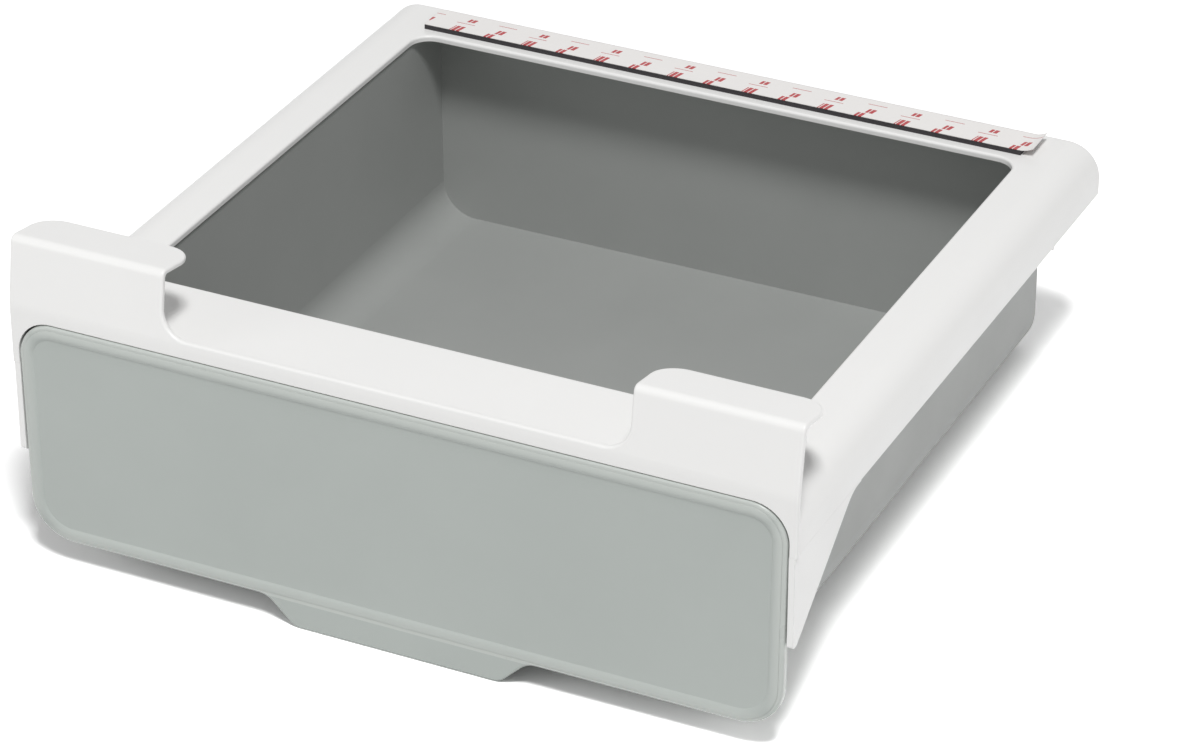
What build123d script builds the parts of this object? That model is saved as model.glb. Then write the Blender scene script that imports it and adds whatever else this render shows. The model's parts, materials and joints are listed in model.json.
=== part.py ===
from build123d import *

import os
from math import atan, cos, degrees, radians, sin, tan

# Under-shelf drawer, in millimetres. +X right, +Y back, +Z up.
# The origin is under the middle of the object, level with the finger tab's lower edge.

# Overall depth, from the drawer front's face to the frame's rear edge
overall_depth = 292.4

# Drawer front and its finger tab
front_width = 300.0
front_height = 89.3
front_thickness = 3.6
front_draft = 0.8
front_top_radius = 14.2
front_bottom_radius = 17.0
front_edge_radius = 1.1
tab_drop = 10.8
tab_foot_width = 82.0
tab_root_width = 104.4
tab_foot_radius = 6.0
tab_root_radius = 9.0

# Rim of the drawer front: an outer strip, a step up to a shallow bead, and the dished field inside it
strip_width = 1.7
strip_depth = 0.45
bead_step = 0.15
bead_crest_inset = 3.5
bead_facets = 5
field_inset = 5.6
field_depth = 0.75
dish_inset = 10.5
dish_depth = 0.95

# Drawer tray
tray_wall = 2.4
tray_floor = 2.5
tray_underhang = 2.0
tray_corner_radius = 17.0
tray_rear_radius = 2.0
tray_top_clearance = 0.8
tray_rear_clearance = 1.2
flange_width = 10.0
flange_thickness = 2.2

# Frame plate, shoulders and skirts
plate_thickness = 2.4
plate_below_rail = 5.4
opening_side_margin = 25.4
opening_front_margin = 46.2
opening_rear_margin = 25.0
opening_radius = 8.5
opening_edge_radius = 1.0
opening_overhang = 0.6
shoulder_radius = 13.3
skirt_inset = 0.8
skirt_drop = 19.8
rear_edge_radius = 1.6
skirt_nub_radius = 1.2
skirt_nub_inset = 49.4

# Front fascia and its legs, which the drawer front stands proud of
fascia_inset = 1.0
fascia_thickness = 2.4
reveal_top = 0.4
reveal_side = 0.6
front_stop_gap = 0.3
notch_radius = 14.0
leg_width = 2.8
seam_gap = 0.02
rail_height = 6.4
rail_edge_radius = 0.9

# Leg tips and gussets below the seam
leg_length = 36.3
leg_tip_inset = 0.3
leg_foot_depth = 3.2
leg_tip_radius = 1.3
gusset_angle = 37.5
gusset_bend_radius = 14.0
gusset_tail = 7.0
gusset_tail_thickness = 0.5

# Shelf hooks, which lean back from a bend near the rail's top
hook_width = 62.6
hook_rise = 24.5
hook_lean = 9.0
hook_bend_drop = 1.9
hook_bend_radius = 20.0
hook_fillet = 10.0
hook_edge_radius = 2.8
hook_inside_radius = 1.2
lip_depth = 23.6
lip_thickness = 2.2
lip_corner_radius = 10.5
nub_radius = 1.2
nub_length = 1.5
nub_drop = 7.0
nub_inset = 1.8

# Fascia's joint with the plate
web_shoulder_inset = 2.0
web_reach = 4.2
web_height = 1.8
web_gap = 0.2
fascia_pad_inset = 2.7
fascia_pad_width = 30.0
fascia_pad_reach = 13.0
fascia_pad_thickness = 2.0
fascia_screw_inset = 10.5
fascia_screw_edge = 12.0
fascia_screw_spacing = 12.0
boss_radius = 3.0
boss_height = 7.2

# Screws
screw_radius = 1.3
pilot_clearance = 0.05
hole_clearance = 0.2
csk_head_radius = 2.8
csk_head_height = 1.6
fascia_screw_length = 8.0
rail_head_radius = 2.5
rail_head_height = 1.7
rail_screw_length = 9.0
front_head_radius = 5.5
front_head_height = 2.2
front_screw_length = 3.4
front_screw_inset = 15.8
front_screw_rise = 21.2
front_screw_drop = 18.3
front_boss_radius = 3.5
front_boss_clearance = 0.3
pilot_spare = 0.2
recess_width = 0.7
recess_span_share = 1.1
recess_depth_share = 0.3
head_rounding_share = 0.4
tip_chamfer = 0.5

# Side rails
rail_wall = 2.2
rail_side_clearance = 1.0
rail_tray_clearance = 1.8
rail_front_inset = 4.9
rail_rear_inset = 6.4
guide_rise = 2.4
foot_recess = 4.3
foot_thickness = 2.0
foot_skirt_clearance = 0.2
joggle_thickness = 2.2
rail_boss_gap = 0.1
rail_screw_front_inset = 62.0
rail_screw_rear_inset = 34.4
rail_screw_count = 3

# Shoes on the flanges and pads on the rails
slide_gap = 0.3
runner_inset = 2.8
runner_thickness = 1.2
runner_chamfer = 0.4
shoe_length = 24.0
shoe_side = 0.7
shoe_rear_inset = 8.0
pad_length = 22.0
pad_front_inset = 14.4
peg_radius = 2.0
peg_clearance = 0.1
peg_end_inset = 6.0
stop_clearance = 0.5

# Tape
tape_width = 15.0
tape_thickness = 2.0
tape_rear_inset = 5.8
foam_left_inset = 24.6
foam_right_inset = 25.4
liner_thickness = 0.25
liner_curl_inset = 1.0
liner_curl_radius = 12.0
liner_curl_angle = 30.0

# Depths
front_y = -overall_depth / 2
rear_y = overall_depth / 2
fascia_front_y = front_y + fascia_inset
fascia_rear_y = fascia_front_y + fascia_thickness
panel_rear_y = front_y + front_thickness
frame_front_y = panel_rear_y + front_stop_gap
tray_front_inner_y = panel_rear_y + tray_wall
rear_skirt_y = rear_y - plate_thickness
tray_rear_y = rear_skirt_y - tray_rear_clearance
tray_rear_inner_y = tray_rear_y - tray_wall
opening_front_y = front_y + opening_front_margin
opening_rear_y = rear_y - opening_rear_margin
tape_rear_y = rear_y - tape_rear_inset
tape_front_y = tape_rear_y - tape_width

# Heights
front_bottom = tab_drop
front_top = front_bottom + front_height
notch_top = front_top + reveal_top
rail_top = notch_top + rail_height
hook_bend = rail_top - hook_bend_drop
hook_top = rail_top + hook_rise
plate_top = rail_top - plate_below_rail
plate_bottom = plate_top - plate_thickness
skirt_bottom = plate_top - skirt_drop
leg_top = skirt_bottom - seam_gap
leg_bottom = skirt_bottom - leg_length
tail_bottom = leg_top - gusset_tail_thickness
tray_bottom = front_bottom - tray_underhang
tray_top = plate_bottom - tray_top_clearance
flange_bottom = tray_top - flange_thickness
ledge_top = flange_bottom - runner_thickness - slide_gap
ledge_bottom = ledge_top - rail_wall
guide_top = ledge_top + guide_rise
foot_top = skirt_bottom + foot_recess
foot_bottom = foot_top - foot_thickness
joggle_bottom = leg_top - joggle_thickness
fascia_pad_top = plate_top + fascia_pad_thickness
tape_top = plate_top + tape_thickness

# Widths, as distances from the middle
notch_half = front_width / 2 + reveal_side
fascia_half = notch_half + leg_width
leg_tip_inner = notch_half - leg_tip_inset
skirt_half = fascia_half - skirt_inset
leg_tip_outer = skirt_half
skirt_inner = skirt_half - plate_thickness
web_half = skirt_half - shoulder_radius - web_shoulder_inset
hook_inner = fascia_half - hook_width
fascia_pad_outer = web_half - fascia_pad_inset
fascia_pad_inner = fascia_pad_outer - fascia_pad_width
opening_half = fascia_half - opening_side_margin
tray_inner = opening_half + opening_overhang
tray_outer = tray_inner + tray_wall
flange_outer = tray_outer + flange_width
guide_inner = flange_outer + rail_side_clearance
guide_outer = guide_inner + rail_wall
ledge_inner = tray_outer + rail_tray_clearance
runner_inner = tray_outer + runner_inset
foot_outer = skirt_inner - foot_skirt_clearance
joggle_inner = foot_outer - joggle_thickness
rail_boss_x = (guide_outer + skirt_inner) / 2
rail_boss_radius = (skirt_inner - guide_outer) / 2 - rail_boss_gap
foam_left = skirt_half - foam_left_inset
foam_right = skirt_half - foam_right_inset
liner_curl_start = foam_right - liner_curl_inset

# Ends of the rails, shoes and pads, which set how far the drawer slides
rail_front_y = front_y + rail_front_inset
rail_rear_y = rear_y - rail_rear_inset
shoe_rear_y = tray_rear_y - shoe_rear_inset
shoe_front_y = shoe_rear_y - shoe_length
pad_front_y = rail_front_y + pad_front_inset
pad_rear_y = pad_front_y + pad_length
drawer_travel = shoe_front_y - pad_rear_y - stop_clearance

# Places of the screws and pegs
peg_x = (runner_inner + flange_outer) / 2
shoe_pegs = [(peg_x, shoe_front_y + peg_end_inset), (peg_x, shoe_rear_y - peg_end_inset)]
pad_pegs = [(peg_x, pad_front_y + peg_end_inset), (peg_x, pad_rear_y - peg_end_inset)]
rail_screw_front_y = front_y + rail_screw_front_inset
rail_screw_spacing = (rear_y - rail_screw_rear_inset - rail_screw_front_y) / (rail_screw_count - 1)
rail_screw_ys = [rail_screw_front_y + n * rail_screw_spacing for n in range(rail_screw_count)]
rail_screws_right = [(rail_boss_x, y) for y in rail_screw_ys]
fascia_screw_y = front_y + fascia_screw_inset
fascia_screw_outer = fascia_pad_outer - fascia_screw_edge
fascia_screws_right = [(fascia_screw_outer - n * fascia_screw_spacing, fascia_screw_y) for n in range(2)]
front_screw_x = tray_inner - front_screw_inset
front_screw_places = [(x, z) for x in (-front_screw_x, front_screw_x)
                      for z in (tray_bottom + front_screw_rise, tray_top - front_screw_drop)]


def at_depth(y):
    """The upright plane at a depth, drawn as seen from the front."""
    return Plane.XZ.offset(-y)


def at_side(x):
    """The upright plane at a distance from the middle, drawn with depth to the right."""
    return Plane.YZ.offset(x)


def both_sides(places):
    """Places on the right and their mirror images on the left."""
    return [(side * x, y) for side in (-1, 1) for x, y in places]


def slab(x0, x1, y0, y1, z0, z1, mode=Mode.ADD):
    """A block between two corners, in the active part."""
    with Locations(((x0 + x1) / 2, (y0 + y1) / 2, (z0 + z1) / 2)):
        Box(x1 - x0, y1 - y0, z1 - z0, mode=mode)


def pegs(places, radius, z0, z1, mode=Mode.ADD):
    """Upright round pegs or holes between two heights, in the active part."""
    with Locations(*[(x, y, z0) for x, y in places]):
        Cylinder(radius, z1 - z0, align=(Align.CENTER, Align.CENTER, Align.MIN), mode=mode)


def gusset_y(height):
    """Depth of the gusset's sloping edge at a height."""
    return fascia_front_y + leg_foot_depth + (height - leg_bottom) / tan(radians(gusset_angle))


def hook_point(rise, depth):
    """A point of the hooks' section, by its distances up the leaning front face and behind it."""
    lean = radians(hook_lean)
    y = fascia_front_y + rise * sin(lean) + depth * cos(lean)
    return (y, hook_bend + rise * cos(lean) - depth * sin(lean))


def corner(sketch, x, y):
    """The corner of a sketch that lies nearest a point."""
    return sketch.vertices().sort_by_distance((x, y))[0]


def front_outline(inset):
    """The drawer front's outline without its tab, drawn in by an inset."""
    half_top = front_width / 2 - inset
    half_bottom = half_top - front_draft
    low = front_bottom + inset
    high = front_top - inset
    with BuildSketch(Plane.XY) as outline:
        with BuildLine():
            Polyline((-half_bottom, low), (half_bottom, low), (half_top, high), (-half_top, high), close=True)
        make_face()
        fillet(outline.vertices().group_by(Axis.Y)[-1], front_top_radius - inset)
        fillet(outline.vertices().group_by(Axis.Y)[0], front_bottom_radius - inset)
    return outline.sketch


def notch_outline():
    """The cut-out in the fascia that the drawer front closes, drafted like the front's sides."""
    half_low = notch_half - front_draft
    low = notch_top - front_height
    with BuildSketch(Plane.XY) as outline:
        with BuildLine():
            Polyline((-half_low, low), (half_low, low), (notch_half, notch_top), (-notch_half, notch_top),
                     close=True)
        make_face()
        fillet(outline.vertices().group_by(Axis.Y)[-1], notch_radius)
    return outline.sketch


def cut_cross_recess(head_radius):
    """The cross recess in a screw head whose top lies at z = 0, in the active part."""
    depth = head_radius * recess_depth_share
    span = head_radius * recess_span_share
    for length, width in ((span, recess_width), (recess_width, span)):
        Box(length, width, depth, align=(Align.CENTER, Align.CENTER, Align.MAX), mode=Mode.SUBTRACT)


def pan_screw(head_radius, head_height, length):
    """A pan-head screw that points down, with the top of its head at z = 0."""
    with BuildPart() as screw:
        Cylinder(head_radius, head_height, align=(Align.CENTER, Align.CENTER, Align.MAX))
        fillet(screw.edges().sort_by(Axis.Z)[-1], head_height * head_rounding_share)
        cut_cross_recess(head_radius)
        with Locations((0, 0, -head_height)):
            Cylinder(screw_radius, length, align=(Align.CENTER, Align.CENTER, Align.MAX))
        chamfer(screw.edges().sort_by(Axis.Z)[0], tip_chamfer)
    return screw.part


def countersunk_screw(length):
    """A countersunk screw that points down, with the top of its head at z = 0."""
    with BuildPart() as screw:
        with Locations((0, 0, -csk_head_height / 2)):
            Cone(screw_radius, csk_head_radius, csk_head_height)
        cut_cross_recess(csk_head_radius)
        with Locations((0, 0, -csk_head_height)):
            Cylinder(screw_radius, length - csk_head_height,
                     align=(Align.CENTER, Align.CENTER, Align.MAX))
        chamfer(screw.edges().sort_by(Axis.Z)[0], tip_chamfer)
    return screw.part


# Drawer front: panel with tab and rounded edge, bead round the dished field, bosses behind
with BuildPart() as drawer_front:
    with BuildSketch(at_depth(front_y + strip_depth)) as panel_face:
        add(front_outline(0))
        with BuildLine():
            Polyline(
                (-tab_root_width / 2, front_bottom + tab_drop),
                (-tab_root_width / 2, front_bottom),
                (-tab_foot_width / 2, front_bottom - tab_drop),
                (tab_foot_width / 2, front_bottom - tab_drop),
                (tab_root_width / 2, front_bottom),
                (tab_root_width / 2, front_bottom + tab_drop),
                close=True,
            )
        make_face()
        for side in (-1, 1):
            fillet(corner(panel_face, side * tab_root_width / 2, front_bottom), tab_root_radius)
            fillet(corner(panel_face, side * tab_foot_width / 2, front_bottom - tab_drop), tab_foot_radius)
    extrude(amount=-(front_thickness - strip_depth))
    fillet(drawer_front.faces().sort_by(Axis.Y)[0].edges(), front_edge_radius)
    with BuildSketch(at_depth(front_y + strip_depth)):
        add(front_outline(strip_width))
    extrude(amount=bead_step)
    shares = [facet / bead_facets for facet in range(bead_facets + 1)]
    for share in shares:
        with BuildSketch(at_depth(front_y + (strip_depth - bead_step) * (1 - share) ** 2)):
            add(front_outline(strip_width + (bead_crest_inset - strip_width) * share))
    loft(ruled=True)
    for share in shares:
        with BuildSketch(at_depth(front_y + field_depth * share ** 2)):
            add(front_outline(bead_crest_inset + (field_inset - bead_crest_inset) * share))
    for share in shares[1:]:
        dish_rise = (dish_depth - field_depth) * (1 - share) ** 2
        with BuildSketch(at_depth(front_y + dish_depth - dish_rise)):
            add(front_outline(field_inset + (dish_inset - field_inset) * share))
    loft(ruled=True, mode=Mode.SUBTRACT)
    with BuildSketch(at_depth(panel_rear_y)):
        with Locations(*front_screw_places):
            Circle(front_boss_radius)
    extrude(amount=-tray_wall)
    with BuildSketch(at_depth(tray_front_inner_y)):
        with Locations(*front_screw_places):
            Circle(screw_radius + pilot_clearance)
    extrude(amount=front_screw_length + pilot_spare, mode=Mode.SUBTRACT)

# Drawer tray: rounded trough with side flanges, holes for the front's bosses and the shoes' pegs
with BuildPart() as drawer_tray:
    with BuildSketch(at_depth(panel_rear_y)) as tray_section:
        with Locations((0, tray_bottom)):
            Rectangle(2 * tray_outer, tray_top - tray_bottom, align=(Align.CENTER, Align.MIN))
        fillet(tray_section.vertices().group_by(Axis.Y)[0], tray_corner_radius)
    extrude(amount=-(tray_rear_y - panel_rear_y))
    tray_rear_edges = drawer_tray.faces().sort_by(Axis.Y)[-1].edges()
    fillet(tray_rear_edges.sort_by(Axis.Z)[:-1], tray_rear_radius)
    slab(-flange_outer, flange_outer, panel_rear_y, tray_rear_y - tray_rear_radius, flange_bottom, tray_top)
    with BuildSketch(at_depth(tray_front_inner_y)) as tray_hollow:
        with Locations((0, tray_bottom + tray_floor)):
            Rectangle(2 * tray_inner, tray_top - tray_bottom, align=(Align.CENTER, Align.MIN))
        fillet(tray_hollow.vertices().group_by(Axis.Y)[0], tray_corner_radius - tray_wall)
    extrude(amount=-(tray_rear_inner_y - tray_front_inner_y), mode=Mode.SUBTRACT)
    with BuildSketch(at_depth(panel_rear_y)):
        with Locations(*front_screw_places):
            Circle(front_boss_radius + front_boss_clearance)
    extrude(amount=-tray_wall, mode=Mode.SUBTRACT)
    pegs(both_sides(shoe_pegs), peg_radius + peg_clearance, flange_bottom, tray_top, Mode.SUBTRACT)

# Shoes under and beside the flanges' rear ends
with BuildPart() as right_rear_shoe:
    with BuildSketch(at_depth(shoe_front_y)):
        with BuildLine():
            Polyline(
                (runner_inner, flange_bottom),
                (flange_outer, flange_bottom),
                (flange_outer, tray_top),
                (flange_outer + shoe_side, tray_top),
                (flange_outer + shoe_side, flange_bottom - runner_thickness),
                (runner_inner, flange_bottom - runner_thickness),
                close=True,
            )
        make_face()
    extrude(amount=-shoe_length)
    chamfer(right_rear_shoe.faces().sort_by(Axis.Z)[0].edges().filter_by(Axis.X), runner_chamfer)
    pegs(shoe_pegs, peg_radius, flange_bottom, tray_top)
with BuildPart() as left_rear_shoe:
    mirror(right_rear_shoe.part, about=Plane.YZ)

# Pads on the rails' front ends, which carry the flanges and stop the shoes
with BuildPart() as right_rail_pad:
    slab(runner_inner, flange_outer, pad_front_y, pad_rear_y, ledge_top, ledge_top + runner_thickness)
    chamfer(right_rail_pad.faces().sort_by(Axis.Z)[-1].edges().filter_by(Axis.X), runner_chamfer)
    pegs(pad_pegs, peg_radius, ledge_bottom, ledge_top)
with BuildPart() as left_rail_pad:
    mirror(right_rail_pad.part, about=Plane.YZ)

# Side rails: ledge, guide and foot, with the leg tip and gusset joggled out to the fascia's side
with BuildPart() as right_side_rail:
    slab(ledge_inner, guide_outer, rail_front_y, rail_rear_y, ledge_bottom, ledge_top)
    slab(guide_inner, guide_outer, rail_front_y, rail_rear_y, foot_bottom, guide_top)
    slab(guide_inner, foot_outer, rail_front_y, rail_rear_y, foot_bottom, foot_top)
    joggle_rear_y = gusset_y(joggle_bottom)
    slab(joggle_inner, foot_outer, rail_front_y, joggle_rear_y, joggle_bottom, foot_top)
    slab(joggle_inner, leg_tip_outer, rail_front_y, joggle_rear_y, joggle_bottom, leg_top)
    with BuildSketch(at_side(leg_tip_inner)) as gusset:
        with BuildLine():
            Polyline(
                (fascia_front_y, leg_bottom),
                (gusset_y(leg_bottom), leg_bottom),
                (gusset_y(tail_bottom), tail_bottom),
                (gusset_y(tail_bottom) + gusset_tail, tail_bottom),
                (gusset_y(tail_bottom) + gusset_tail, leg_top),
                (fascia_front_y, leg_top),
                close=True,
            )
        make_face()
        fillet(gusset.vertices().group_by(Axis.Y)[0], leg_tip_radius)
        fillet(corner(gusset, gusset_y(tail_bottom), tail_bottom), gusset_bend_radius)
    extrude(amount=leg_tip_outer - leg_tip_inner)
    pegs(rail_screws_right, screw_radius + hole_clearance, foot_bottom, foot_top, Mode.SUBTRACT)
    pegs(pad_pegs, peg_radius + peg_clearance, ledge_bottom, ledge_top, Mode.SUBTRACT)
with BuildPart() as left_side_rail:
    mirror(right_side_rail.part, about=Plane.YZ)

# Hollow under the top frame's plate, left solid where the screw bosses stand
with BuildPart() as frame_hollow:
    with BuildSketch(at_depth(front_y)) as hollow_section:
        with Locations((0, plate_bottom)):
            Rectangle(2 * skirt_inner, plate_bottom - leg_bottom, align=(Align.CENTER, Align.MAX))
        fillet(hollow_section.vertices().group_by(Axis.Y)[-1], shoulder_radius - plate_thickness)
    extrude(amount=-(rear_skirt_y - front_y))
    boss_bottom = plate_bottom - boss_height
    pegs(both_sides(fascia_screws_right), boss_radius, boss_bottom, plate_bottom, Mode.SUBTRACT)
    pegs(both_sides(rail_screws_right), rail_boss_radius, foot_top, plate_bottom, Mode.SUBTRACT)
    for side in (-1, 1):
        with Locations(*[(side * (x + skirt_inner) / 2, y, foot_top) for x, y in rail_screws_right]):
            Box(skirt_inner - rail_boss_x, 2 * rail_boss_radius, plate_bottom - foot_top,
                align=(Align.CENTER, Align.CENTER, Align.MIN), mode=Mode.SUBTRACT)

# Top frame: plate with the opening, rounded shoulders, side and rear skirts
with BuildPart() as top_frame:
    with BuildSketch(at_depth(fascia_rear_y)) as frame_section:
        with Locations((0, skirt_bottom)):
            Rectangle(2 * skirt_half, plate_top - skirt_bottom, align=(Align.CENTER, Align.MIN))
        fillet(frame_section.vertices().group_by(Axis.Y)[-1], shoulder_radius)
    extrude(amount=-(rear_y - fascia_rear_y))
    frame_rear_edges = top_frame.faces().sort_by(Axis.Y)[-1].edges()
    fillet(frame_rear_edges.sort_by(Axis.Z)[1:], rear_edge_radius)
    add(frame_hollow.part, mode=Mode.SUBTRACT)
    with BuildSketch(Plane.XY.offset(plate_top)):
        with Locations((0, (opening_front_y + opening_rear_y) / 2)):
            RectangleRounded(2 * opening_half, opening_rear_y - opening_front_y, opening_radius)
    extrude(amount=-plate_thickness, mode=Mode.SUBTRACT)
    fillet(top_frame.faces().sort_by(Axis.Z)[-1].inner_wires()[0].edges(), opening_edge_radius)
    with BuildSketch(at_depth(front_y)):
        add(notch_outline())
    extrude(amount=-(frame_front_y - front_y), mode=Mode.SUBTRACT)
    slab(-web_half, web_half, front_y, frame_front_y + web_gap, plate_bottom, plate_top, Mode.SUBTRACT)
    pegs(both_sides(fascia_screws_right), screw_radius + pilot_clearance,
         fascia_pad_top - fascia_screw_length - pilot_spare, plate_top, Mode.SUBTRACT)
    pegs(both_sides(rail_screws_right), screw_radius + pilot_clearance,
         foot_top, foot_bottom + rail_screw_length + pilot_spare, Mode.SUBTRACT)
    for side in (-1, 1):
        with Locations((side * (skirt_half + skirt_inner) / 2, rear_y - skirt_nub_inset, skirt_bottom)):
            Cylinder(skirt_nub_radius, plate_thickness, rotation=(0, 90, 0))

# Front fascia: rail, legs and shelf hooks, with the web and pads that join it to the plate
with BuildPart() as front_fascia:
    hook_length = (hook_top - hook_bend) / cos(radians(hook_lean))
    inner_bend = hook_bend - fascia_thickness * tan(radians(hook_lean / 2))
    with BuildSketch(at_side(-fascia_half)) as hook_section:
        with BuildLine():
            Polyline(
                (fascia_front_y, skirt_bottom),
                (fascia_front_y, hook_bend),
                hook_point(hook_length, 0),
                hook_point(hook_length, lip_depth),
                hook_point(hook_length - lip_thickness, lip_depth),
                hook_point(hook_length - lip_thickness, fascia_thickness),
                (fascia_rear_y, inner_bend),
                (fascia_rear_y, skirt_bottom),
                close=True,
            )
        make_face()
        fillet(corner(hook_section, fascia_front_y, hook_bend), hook_bend_radius)
        fillet(corner(hook_section, fascia_rear_y, inner_bend), hook_bend_radius - fascia_thickness)
        fillet(corner(hook_section, *hook_point(hook_length, 0)), hook_edge_radius)
        fillet(corner(hook_section, *hook_point(hook_length - lip_thickness, fascia_thickness)),
               hook_inside_radius)
    extrude(amount=2 * fascia_half)
    with BuildSketch(at_depth(fascia_front_y)) as fascia_face:
        with Locations((0, skirt_bottom)):
            Rectangle(2 * fascia_half, rail_top - skirt_bottom, align=(Align.CENTER, Align.MIN))
        for side in (-1, 1):
            with Locations((side * (fascia_half + hook_inner) / 2, rail_top)):
                Rectangle(fascia_half - hook_inner, hook_rise, align=(Align.CENTER, Align.MIN))
        for side in (-1, 1):
            fillet(corner(fascia_face, side * hook_inner, rail_top), hook_fillet)
        add(notch_outline(), mode=Mode.SUBTRACT)
    extrude(amount=-2 * lip_depth, mode=Mode.INTERSECT)
    lip_ends = front_fascia.faces().sort_by(Axis.Y)[-2:]
    fillet([edge for end in lip_ends for edge in end.edges().sort_by(SortBy.LENGTH)[:2]], lip_corner_radius)
    for edge_y in (fascia_front_y, fascia_rear_y):
        rail_edge = front_fascia.edges().filter_by(Axis.X).sort_by_distance((0, edge_y, rail_top))[0]
        fillet(rail_edge, rail_edge_radius)
    nub_y, nub_z = hook_point(hook_length - nub_drop, fascia_thickness)
    for side in (-1, 1):
        with Locations(Location((side * (fascia_half - nub_inset), nub_y, nub_z), (-90 - hook_lean, 0, 0))):
            Cylinder(nub_radius, nub_length, align=(Align.CENTER, Align.CENTER, Align.MIN))
    web_side = web_half - web_gap
    slab(-web_side, web_side, fascia_rear_y, frame_front_y, notch_top, plate_top)
    slab(-web_side, web_side, fascia_rear_y, fascia_rear_y + web_reach, plate_top, plate_top + web_height)
    for inner, outer in ((-fascia_pad_outer, -fascia_pad_inner), (fascia_pad_inner, fascia_pad_outer)):
        slab(inner, outer, fascia_rear_y, fascia_rear_y + fascia_pad_reach, plate_top, fascia_pad_top)
    with Locations(*[(x, y, fascia_pad_top) for x, y in both_sides(fascia_screws_right)]):
        CounterSinkHole(screw_radius + hole_clearance, csk_head_radius + hole_clearance,
                        fascia_pad_thickness,
                        2 * degrees(atan((csk_head_radius - screw_radius) / csk_head_height)))

# Screws
fascia_screw = countersunk_screw(fascia_screw_length)
with BuildPart() as fascia_screws:
    with Locations(*[(x, y, fascia_pad_top) for x, y in both_sides(fascia_screws_right)]):
        add(fascia_screw)
rail_screw = pan_screw(rail_head_radius, rail_head_height, rail_screw_length)
with BuildPart() as right_rail_screws:
    with Locations(*[(x, y, foot_bottom - rail_head_height) for x, y in rail_screws_right]):
        add(rail_screw, rotation=(180, 0, 0))
with BuildPart() as left_rail_screws:
    mirror(right_rail_screws.part, about=Plane.YZ)
front_screw = pan_screw(front_head_radius, front_head_height, front_screw_length)
with BuildPart(at_depth(tray_front_inner_y + front_head_height)) as drawer_front_screws:
    with Locations(*front_screw_places):
        add(front_screw, rotation=(180, 0, 0))

# Foam tape and its liner, whose right end curls up
with BuildPart() as tape_foam:
    slab(-foam_left, foam_right, tape_front_y, tape_rear_y, plate_top, tape_top)
with BuildPart() as tape_liner:
    curl_centre = (liner_curl_start, tape_top + liner_curl_radius)
    with BuildSketch(at_depth(tape_front_y)):
        with BuildLine():
            under = Line((-foam_left, tape_top), (liner_curl_start, tape_top))
            under_curl = CenterArc(curl_centre, liner_curl_radius, -90, liner_curl_angle)
            over_curl = CenterArc(curl_centre, liner_curl_radius - liner_thickness, -90, liner_curl_angle)
            over = Line(over_curl @ 0, (-foam_left, tape_top + liner_thickness))
            Line(under @ 0, over @ 1)
            Line(under_curl @ 1, over_curl @ 1)
        make_face()
    extrude(amount=-tape_width)

pieces = {
    "top_frame": top_frame,
    "front_fascia": front_fascia,
    "fascia_screws": fascia_screws,
    "left_side_rail": left_side_rail,
    "right_side_rail": right_side_rail,
    "left_rail_screws": left_rail_screws,
    "right_rail_screws": right_rail_screws,
    "left_rail_pad": left_rail_pad,
    "right_rail_pad": right_rail_pad,
    "tape_foam": tape_foam,
    "tape_liner": tape_liner,
    "drawer_tray": drawer_tray,
    "drawer_front": drawer_front,
    "drawer_front_screws": drawer_front_screws,
    "left_rear_shoe": left_rear_shoe,
    "right_rear_shoe": right_rear_shoe,
}
os.makedirs("parts", exist_ok=True)
for name, piece in pieces.items():
    piece.part.label = name
    export_step(piece.part, f"parts/{name}.step")
print(f"The drawer slides out {drawer_travel:.1f} mm")
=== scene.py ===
import json
from math import atan2, radians

import bpy
from mathutils import Matrix, Vector

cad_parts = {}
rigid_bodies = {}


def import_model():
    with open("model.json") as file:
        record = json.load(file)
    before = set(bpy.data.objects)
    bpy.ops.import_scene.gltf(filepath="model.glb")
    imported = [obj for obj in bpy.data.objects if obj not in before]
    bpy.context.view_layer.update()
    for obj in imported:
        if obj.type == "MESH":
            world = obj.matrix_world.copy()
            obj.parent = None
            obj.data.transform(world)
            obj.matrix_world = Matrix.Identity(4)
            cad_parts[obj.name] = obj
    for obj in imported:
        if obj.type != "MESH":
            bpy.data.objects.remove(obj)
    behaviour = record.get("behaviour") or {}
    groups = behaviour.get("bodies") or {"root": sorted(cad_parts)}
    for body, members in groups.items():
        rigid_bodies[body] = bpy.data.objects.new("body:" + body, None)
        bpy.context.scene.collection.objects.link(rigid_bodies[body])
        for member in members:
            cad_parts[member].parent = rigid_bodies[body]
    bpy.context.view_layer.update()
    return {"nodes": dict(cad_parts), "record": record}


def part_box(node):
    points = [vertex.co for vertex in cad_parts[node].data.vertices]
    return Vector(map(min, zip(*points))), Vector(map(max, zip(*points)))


# Blender opens with its own cube, lamp and camera, which the scene doesn't use
for leftover in list(bpy.data.objects):
    bpy.data.objects.remove(leftover)

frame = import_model()
nodes = frame["nodes"]
MM = 0.001

# Camera of the photograph, in the row frame
PHOTO_WIDTH = 1200
CAMERA_PLACE = (0.6509, -1.3279, 0.8950)
CAMERA_YAW = 25.75
CAMERA_PITCH = -30.11
CAMERA_ROLL = -0.04
FOCAL_PIXELS = 4549.6
SENSOR_WIDTH = 36.0

# Lamps: where each stands and what it faces, its width in metres and its power in watts
LAMPS = {
    "key": ((0.70, -1.16, 2.65), (0, 0, 0.05), 0.52, 58.0),
    "left_fill": ((-0.62, -0.7, 0.35), (-0.1, -0.15, 0.05), 0.4, 0.8),
}

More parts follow.
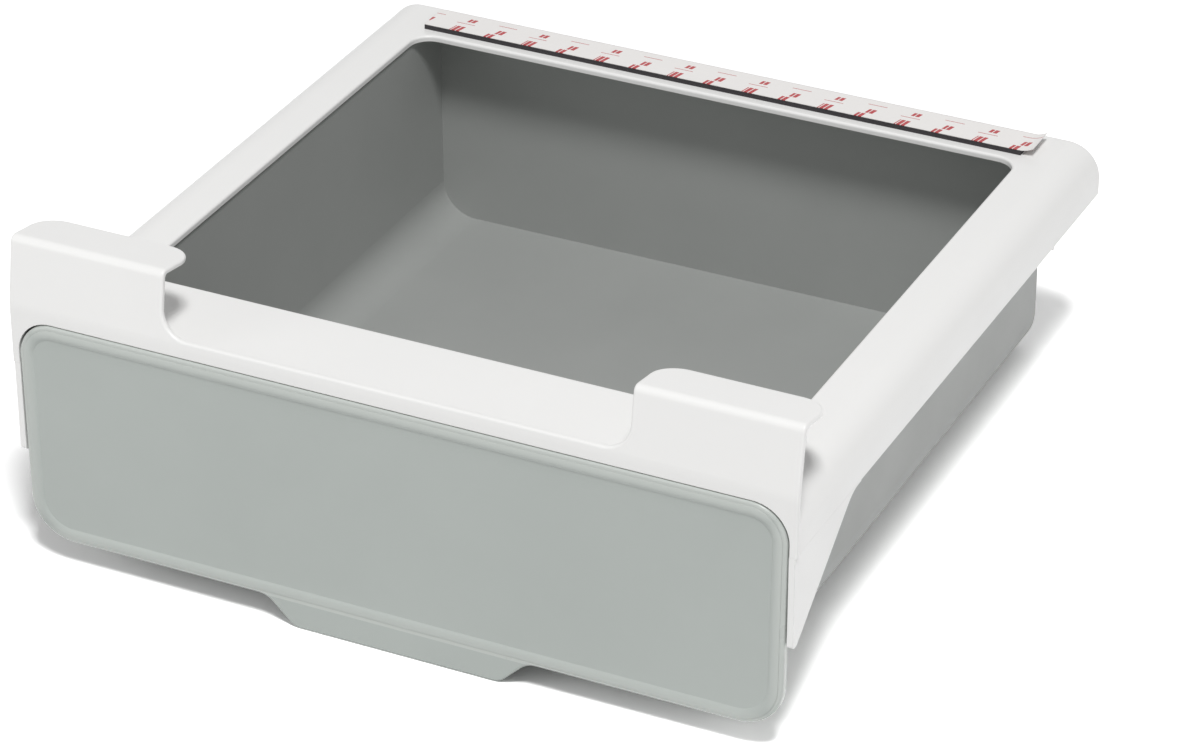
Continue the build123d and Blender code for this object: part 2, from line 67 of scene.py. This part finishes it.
# Colours, as linear values
FRAME_WHITE = (0.855, 0.852, 0.842)
FRONT_SAGE = (0.435, 0.468, 0.447)
# The rim's paler sage is a painted highlight along the drawer front's edge
RIM_SAGE_HIGHLIGHT = (0.515, 0.545, 0.519)
TRAY_GREY = (0.355, 0.366, 0.356)
RUNNER_WHITE = (0.78, 0.78, 0.74)
# The foam's darkest black is painted shade in the pits of its pores
FOAM_PIT_SHADE = (0.022, 0.020, 0.022)
FOAM_PALE = (0.0484, 0.044, 0.0484)
LINER_WHITE = (0.845, 0.825, 0.81)
LINER_RED = (0.45, 0.012, 0.02)
ZINC = (0.62, 0.62, 0.60)
ZINC_DARK = (0.496, 0.496, 0.48)

# Middle range of a noise's values, which covers most of its area
NOISE_LOW = 0.3
NOISE_HIGH = 0.7

# All moulded plastics: faint clouds in the colour, duller patches, slow ripples and the mould's grain
CLOUD_SIZE = 0.045
CLOUD_DETAIL = 4.0
PATCH_SIZE = 0.02
PATCH_DETAIL = 5.0
PATCH_ROUGHNESS = 0.035
RIPPLE_SIZE = 0.03
RIPPLE_DETAIL = 1.0
RIPPLE_DEPTH = 0.00012
GRAIN_DETAIL = 2.0
GRAIN_CONTRAST = 0.6
PLASTIC_SPECULAR = 0.45

# Each plastic's colour, cloudiness and roughness, and the size and depth of its grain
PLASTICS = {
    "white_plastic": (FRAME_WHITE, 0.006, 0.36, 0.00035, 0.000006),
    "grey_plastic": (TRAY_GREY, 0.02, 0.46, 0.0005, 0.000012),
    "runner_plastic": (RUNNER_WHITE, 0.01, 0.3, 0.0004, 0.000004),
}

# The drawer front, whose rim carries a painted highlight, palest and smoothest outside, and the
# height of the tab below it
FRONT_CLOUDINESS = 0.015
FRONT_GRAIN_SIZE = 0.0005
FRONT_GRAIN_DEPTH = 0.00002
RIM_WIDTH = 0.0062
RIM_FADE = 0.0042
RIM_ROUGHNESS = 0.3
FIELD_ROUGHNESS = 0.5
TAB_DROP = 0.0108

# Screws: dull patches and fine marks
ZINC_PATCH_SIZE = 0.0012
ZINC_PATCH_DETAIL = 4.0
ZINC_ROUGHNESS = (0.28, 0.45)
ZINC_MARK_SIZE = 0.0004
ZINC_MARK_DETAIL = 2.0
ZINC_MARK_DEPTH = 0.00001

# Foam: pores and dull patches
PORE_SIZE = 0.00035
PORE_DEPTH = 0.00012
FOAM_PATCH_SIZE = 0.002
FOAM_ROUGHNESS = (0.8, 0.95)

# Liner's paper: worn print, creases and grain
WEAR_SIZE = 0.0012
WEAR_LEFT = (0.94, 1.0)
CREASE_SIZE = 0.012
CREASE_DETAIL = 2.0
CREASE_DEPTH = 0.00025
LINER_ROUGHNESS = (0.34, 0.44)
PAPER_GRAIN_SIZE = 0.0003
PAPER_GRAIN_DEPTH = 0.000008

# Liner's print in millimetres: marks by centre and length along it, and their limits across it.
# Marks that are higher than a stroke is wide consist of strokes, the others are thin rules.
LINER_PITCH = 32.0
LINER_SLANT = 0.25
STROKE_PITCH = 2.0
STROKE_WIDTH = 1.6
LINER_MARKS = (
    (13.3, 4.4, -1.0, 4.2),
    (13.3, 8.0, 6.9, 7.25),
    (14.1, 3.6, 8.8, 11.6),
    (28.0, 3.2, -1.0, 3.0),
    (30.2, 3.6, 3.7, 7.2),
    (29.2, 8.0, 10.9, 11.25),
)

# Floor and surround: how white they are to the light and to the eye; to the eye the floor's right
# side is painted lighter, painted light over the object's shadow there
REST_FRONT_Y = -0.1426
REST_REAR_Y = 0.1406
FLOOR_SIZE = 12.0
FLOOR_WHITE = 0.82
FLOOR_SHOWN = 1.5
FLOOR_SHOWN_RIGHT_PAINTED_LIGHT = 2.15
PAINTED_LIGHT_RAMP = (0.04, 0.13)
FLOOR_SHOWN_FAR = 9.0
FLOOR_FAR = (0.5, 1.6)
WORLD_FILL = 0.31


def new_material(name):
    """A node material with a Principled shader and object coordinates."""
    material = bpy.data.materials.new(name)
    material.use_nodes = True
    tree = material.node_tree
    shader = tree.nodes["Principled BSDF"]
    place = tree.nodes.new("ShaderNodeTexCoord").outputs["Object"]
    return material, tree, shader, place


def noise(tree, place, size, detail=3.0, contrast=0.55):
    """Noise whose features are about size metres across."""
    node = tree.nodes.new("ShaderNodeTexNoise")
    node.inputs["Scale"].default_value = 1.0 / size
    node.inputs["Detail"].default_value = detail
    node.inputs["Roughness"].default_value = contrast
    tree.links.new(place, node.inputs["Vector"])
    return node.outputs["Fac"]


def spread(tree, value, low, high, start=NOISE_LOW, end=NOISE_HIGH):
    """Maps the range from start to end onto low to high, and holds the ends outside it."""
    node = tree.nodes.new("ShaderNodeMapRange")
    node.inputs["From Min"].default_value = start
    node.inputs["From Max"].default_value = end
    node.inputs["To Min"].default_value = low
    node.inputs["To Max"].default_value = high
    tree.links.new(value, node.inputs["Value"])
    return node.outputs["Result"]


def calculate(tree, operation, *values):
    """A Math node on up to three values, each a socket or a number."""
    node = tree.nodes.new("ShaderNodeMath")
    node.operation = operation
    for value, socket in zip(values, node.inputs):
        if isinstance(value, bpy.types.NodeSocket):
            tree.links.new(value, socket)
        else:
            socket.default_value = value
    return node.outputs[0]


def between(tree, value, low, high):
    """1 where a value lies between two limits."""
    above = calculate(tree, "GREATER_THAN", value, low)
    below = calculate(tree, "LESS_THAN", value, high)
    return calculate(tree, "MULTIPLY", above, below)


def split_axes(tree, place):
    """The X, Y and Z of a place, by name."""
    node = tree.nodes.new("ShaderNodeSeparateXYZ")
    tree.links.new(place, node.inputs["Vector"])
    return node.outputs


def mix_colour(tree, factor, first, second):
    """A colour between two others, each a socket or three numbers."""
    node = tree.nodes.new("ShaderNodeMix")
    node.data_type = "RGBA"
    tree.links.new(factor, node.inputs["Factor"])
    for value, socket in ((first, node.inputs["A"]), (second, node.inputs["B"])):
        if isinstance(value, bpy.types.NodeSocket):
            tree.links.new(value, socket)
        else:
            socket.default_value = (*value, 1)
    return node.outputs["Result"]


def add_bump(tree, shader, heights, edge_radius=0.0003):
    """Softened edges and bumps, from pairs of a height socket and its depth in metres."""
    edges = tree.nodes.new("ShaderNodeBevel")
    edges.inputs["Radius"].default_value = edge_radius
    normal = edges.outputs["Normal"]
    for height, depth in heights:
        node = tree.nodes.new("ShaderNodeBump")
        node.inputs["Distance"].default_value = depth
        tree.links.new(height, node.inputs["Height"])
        tree.links.new(normal, node.inputs["Normal"])
        normal = node.outputs["Normal"]
    tree.links.new(normal, shader.inputs["Normal"])


def cloudy_colour(tree, place, colour, cloudiness):
    """A colour that grows a little darker and lighter in wide clouds."""
    clouds = spread(tree, noise(tree, place, CLOUD_SIZE, CLOUD_DETAIL), 0, 1)
    darker = [c * (1 - cloudiness) for c in colour]
    lighter = [c * (1 + cloudiness) for c in colour]
    return mix_colour(tree, clouds, darker, lighter)


def finish_plastic(tree, shader, place, colour, roughness, grain_size, grain_depth):
    """Gives a shader the colour, patchy gloss, slow ripples and grain of moulded plastic."""
    tree.links.new(colour, shader.inputs["Base Color"])
    patches = noise(tree, place, PATCH_SIZE, PATCH_DETAIL)
    patches = spread(tree, patches, -PATCH_ROUGHNESS, PATCH_ROUGHNESS)
    tree.links.new(calculate(tree, "ADD", patches, roughness), shader.inputs["Roughness"])
    shader.inputs["Specular IOR Level"].default_value = PLASTIC_SPECULAR
    ripples = noise(tree, place, RIPPLE_SIZE, RIPPLE_DETAIL)
    grain = noise(tree, place, grain_size, GRAIN_DETAIL, GRAIN_CONTRAST)
    add_bump(tree, shader, [(ripples, RIPPLE_DEPTH), (grain, grain_depth)])


def moulded_plastic(name):
    """A moulded plastic of one colour."""
    material, tree, shader, place = new_material(name)
    colour, cloudiness, roughness, grain_size, grain_depth = PLASTICS[name]
    colour = cloudy_colour(tree, place, colour, cloudiness)
    finish_plastic(tree, shader, place, colour, roughness, grain_size, grain_depth)
    return material


def rim_highlight_share(tree, place):
    """1 along the drawer front's outer edge, where a highlight is painted, fading to 0 on its field
    and 0 on the tab.
    """
    low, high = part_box("drawer_front")
    axes = split_axes(tree, place)
    from_sides = calculate(tree, "SUBTRACT", high.x, calculate(tree, "ABSOLUTE", axes["X"]))
    from_top = calculate(tree, "SUBTRACT", high.z, axes["Z"])
    from_bottom = calculate(tree, "SUBTRACT", axes["Z"], low.z + TAB_DROP)
    inset = calculate(tree, "MINIMUM", from_top, from_bottom)
    inset = calculate(tree, "MINIMUM", from_sides, inset)
    rim = spread(tree, inset, 1, 0, RIM_WIDTH - RIM_FADE, RIM_WIDTH)
    above_tab = calculate(tree, "GREATER_THAN", from_bottom, 0.0)
    return calculate(tree, "MULTIPLY", rim, above_tab)


def sage_front(name):
    """The drawer front's plastic, whose rim is smoother than the field and painted paler as a
    highlight.
    """
    material, tree, shader, place = new_material(name)
    rim = rim_highlight_share(tree, place)
    field = cloudy_colour(tree, place, FRONT_SAGE, FRONT_CLOUDINESS)
    # Painted highlight: the rim takes a paler colour than the field
    colour = mix_colour(tree, rim, field, RIM_SAGE_HIGHLIGHT)
    roughness = calculate(tree, "MULTIPLY_ADD", rim, RIM_ROUGHNESS - FIELD_ROUGHNESS, FIELD_ROUGHNESS)
    finish_plastic(tree, shader, place, colour, roughness, FRONT_GRAIN_SIZE, FRONT_GRAIN_DEPTH)
    return material


def zinc_steel(name):
    """Zinc-plated screw steel, with dull patches."""
    material, tree, shader, place = new_material(name)
    dull = noise(tree, place, ZINC_PATCH_SIZE, ZINC_PATCH_DETAIL)
    colour = mix_colour(tree, spread(tree, dull, 0, 1), ZINC_DARK, ZINC)
    tree.links.new(colour, shader.inputs["Base Color"])
    tree.links.new(spread(tree, dull, *ZINC_ROUGHNESS), shader.inputs["Roughness"])
    shader.inputs["Metallic"].default_value = 1.0
    marks = noise(tree, place, ZINC_MARK_SIZE, ZINC_MARK_DETAIL)
    add_bump(tree, shader, [(marks, ZINC_MARK_DEPTH)])
    return material


def foam(name):
    """Closed-cell foam tape: fine pores on its cut edges, with painted shade in their pits."""
    material, tree, shader, place = new_material(name)
    pores = tree.nodes.new("ShaderNodeTexVoronoi")
    pores.inputs["Scale"].default_value = 1 / PORE_SIZE
    tree.links.new(place, pores.inputs["Vector"])
    # Painted shade: the foam is darkest in the pits of its pores
    colour = mix_colour(tree, pores.outputs["Distance"], FOAM_PIT_SHADE, FOAM_PALE)
    tree.links.new(colour, shader.inputs["Base Color"])
    patches = noise(tree, place, FOAM_PATCH_SIZE)
    tree.links.new(spread(tree, patches, *FOAM_ROUGHNESS), shader.inputs["Roughness"])
    add_bump(tree, shader, [(pores.outputs["Distance"], PORE_DEPTH)])
    return material


def liner_print(tree, place):
    """1 on the liner's repeating slanted marks."""
    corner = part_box("tape_liner")[0]
    axes = split_axes(tree, place)
    across = calculate(tree, "SUBTRACT", axes["Y"], corner.y)
    along = calculate(tree, "SUBTRACT", axes["X"], corner.x)
    slanted = calculate(tree, "MULTIPLY_ADD", across, -LINER_SLANT, along)
    strokes = calculate(tree, "WRAP", slanted, STROKE_PITCH * MM, 0.0)
    strokes = between(tree, strokes, 0.0, STROKE_WIDTH * MM)
    marks = []
    for centre, length, low, high in LINER_MARKS:
        shifted = calculate(tree, "SUBTRACT", slanted, (centre - length / 2) * MM)
        repeated = calculate(tree, "WRAP", shifted, LINER_PITCH * MM, 0.0)
        in_length = between(tree, repeated, 0.0, length * MM)
        in_height = between(tree, across, low * MM, high * MM)
        mark = calculate(tree, "MULTIPLY", in_length, in_height)
        if high - low > STROKE_WIDTH:
            mark = calculate(tree, "MULTIPLY", mark, strokes)
        marks.append(mark)
    printed = marks[0]
    for mark in marks[1:]:
        printed = calculate(tree, "MAXIMUM", printed, mark)
    return printed


def printed_liner(name):
    """Silicone paper with groups of short red strokes and thin rules in repeating rows."""
    material, tree, shader, place = new_material(name)
    wear = spread(tree, noise(tree, place, WEAR_SIZE), *WEAR_LEFT)
    printed = calculate(tree, "MULTIPLY", liner_print(tree, place), wear)
    colour = mix_colour(tree, printed, LINER_WHITE, LINER_RED)
    tree.links.new(colour, shader.inputs["Base Color"])
    creases = noise(tree, place, CREASE_SIZE, CREASE_DETAIL)
    tree.links.new(spread(tree, creases, *LINER_ROUGHNESS), shader.inputs["Roughness"])
    paper_grain = noise(tree, place, PAPER_GRAIN_SIZE)
    add_bump(tree, shader, [(creases, CREASE_DEPTH), (paper_grain, PAPER_GRAIN_DEPTH)])
    return material


def dress_nodes():
    """Gives each node the material of its slot in the record."""
    white_plastic = moulded_plastic("white_plastic")
    slot_materials = {
        "frame_plastic": white_plastic,
        "rail_plastic": white_plastic,
        "front_plastic": sage_front("sage_plastic"),
        "tray_plastic": moulded_plastic("grey_plastic"),
        "runner_plastic": moulded_plastic("runner_plastic"),
        "screw_steel": zinc_steel("screw_steel"),
        "tape_foam": foam("tape_foam"),
        "tape_liner": printed_liner("liner_paper"),
    }
    for subpart in frame["record"]["subparts"]:
        for material_slot in nodes[subpart["node"]].material_slots:
            material_slot.material = slot_materials[subpart["material_slot"]]


def seen_by_eye(tree):
    """1 for camera, glossy and transmission rays, which see the background itself."""
    rays = tree.nodes.new("ShaderNodeLightPath").outputs
    reflected = calculate(tree, "MAXIMUM", rays["Is Glossy Ray"], rays["Is Transmission Ray"])
    return calculate(tree, "MAXIMUM", rays["Is Camera Ray"], reflected)


def floor_colour(tree):
    """The floor's colour: pale to the light, and white to the eye where the light falls off. To the
    eye its right side is painted lighter, painted light that lightens the object's shadow there.
    """
    place = tree.nodes.new("ShaderNodeTexCoord").outputs["Object"]
    # Painted light: towards the right the floor grows lighter to the eye, lightening the shadow
    # beside the tray
    painted_light_right = spread(tree, split_axes(tree, place)["X"], 0, 1, *PAINTED_LIGHT_RAMP)
    shown = mix_colour(tree, painted_light_right, (FLOOR_SHOWN,) * 3, (FLOOR_SHOWN_RIGHT_PAINTED_LIGHT,) * 3)
    distance = tree.nodes.new("ShaderNodeVectorMath")
    distance.operation = "LENGTH"
    tree.links.new(place, distance.inputs[0])
    far = spread(tree, distance.outputs["Value"], 0, 1, *FLOOR_FAR)
    by_camera = tree.nodes.new("ShaderNodeLightPath").outputs["Is Camera Ray"]
    far = calculate(tree, "MULTIPLY", far, by_camera)
    shown = mix_colour(tree, far, shown, (FLOOR_SHOWN_FAR,) * 3)
    return mix_colour(tree, seen_by_eye(tree), (FLOOR_WHITE,) * 3, shown)


def make_floor():
    """The plain floor, tilted so that the tab and the tray's rear edge both rest on it."""
    tray_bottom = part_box("drawer_tray")[0].z
    tilt = atan2(tray_bottom, REST_REAR_Y - REST_FRONT_Y)
    bpy.ops.mesh.primitive_plane_add(size=FLOOR_SIZE)
    floor = bpy.context.object
    floor.name = "floor"
    touch = Vector((0, REST_FRONT_Y, 0))
    floor.matrix_world = Matrix.Translation(touch) @ Matrix.Rotation(tilt, 4, "X")
    material = bpy.data.materials.new("floor")
    material.use_nodes = True
    tree = material.node_tree
    tree.nodes.clear()
    diffuse = tree.nodes.new("ShaderNodeBsdfDiffuse")
    output = tree.nodes.new("ShaderNodeOutputMaterial")
    tree.links.new(floor_colour(tree), diffuse.inputs["Color"])
    tree.links.new(diffuse.outputs[0], output.inputs["Surface"])
    floor.data.materials.append(material)


def make_world():
    """A white surround: full white to the eye, softer as fill light."""
    world = bpy.data.worlds.new("studio")
    bpy.context.scene.world = world
    world.use_nodes = True
    tree = world.node_tree
    tree.nodes.clear()
    background = tree.nodes.new("ShaderNodeBackground")
    output = tree.nodes.new("ShaderNodeOutputWorld")
    colour = mix_colour(tree, seen_by_eye(tree), (WORLD_FILL,) * 3, (1, 1, 1))
    tree.links.new(colour, background.inputs["Color"])
    tree.links.new(background.outputs[0], output.inputs["Surface"])


def softbox(name, place, target, size, power):
    """A square area lamp that faces a point."""
    lamp = bpy.data.lights.new(name, "AREA")
    lamp.size = size
    lamp.energy = power
    holder = bpy.data.objects.new(name, lamp)
    bpy.context.scene.collection.objects.link(holder)
    holder.location = place
    direction = Vector(target) - Vector(place)
    holder.rotation_euler = direction.to_track_quat("-Z", "Y").to_euler()


def make_camera():
    """The camera at the photograph's place, angle and focal length."""
    data = bpy.data.cameras.new("photo_camera")
    data.sensor_width = SENSOR_WIDTH
    data.lens = FOCAL_PIXELS * SENSOR_WIDTH / PHOTO_WIDTH
    camera = bpy.data.objects.new("photo_camera", data)
    bpy.context.scene.collection.objects.link(camera)
    turn = Matrix.Rotation(radians(CAMERA_YAW), 4, "Z")
    tip = Matrix.Rotation(radians(90 + CAMERA_PITCH), 4, "X")
    roll = Matrix.Rotation(radians(CAMERA_ROLL), 4, "Z")
    camera.matrix_world = Matrix.Translation(CAMERA_PLACE) @ turn @ tip @ roll
    bpy.context.scene.camera = camera


dress_nodes()
make_floor()
make_world()
for lamp_name, lamp_values in LAMPS.items():
    softbox(lamp_name, *lamp_values)
make_camera()
bpy.context.scene.view_settings.view_transform = "Standard"
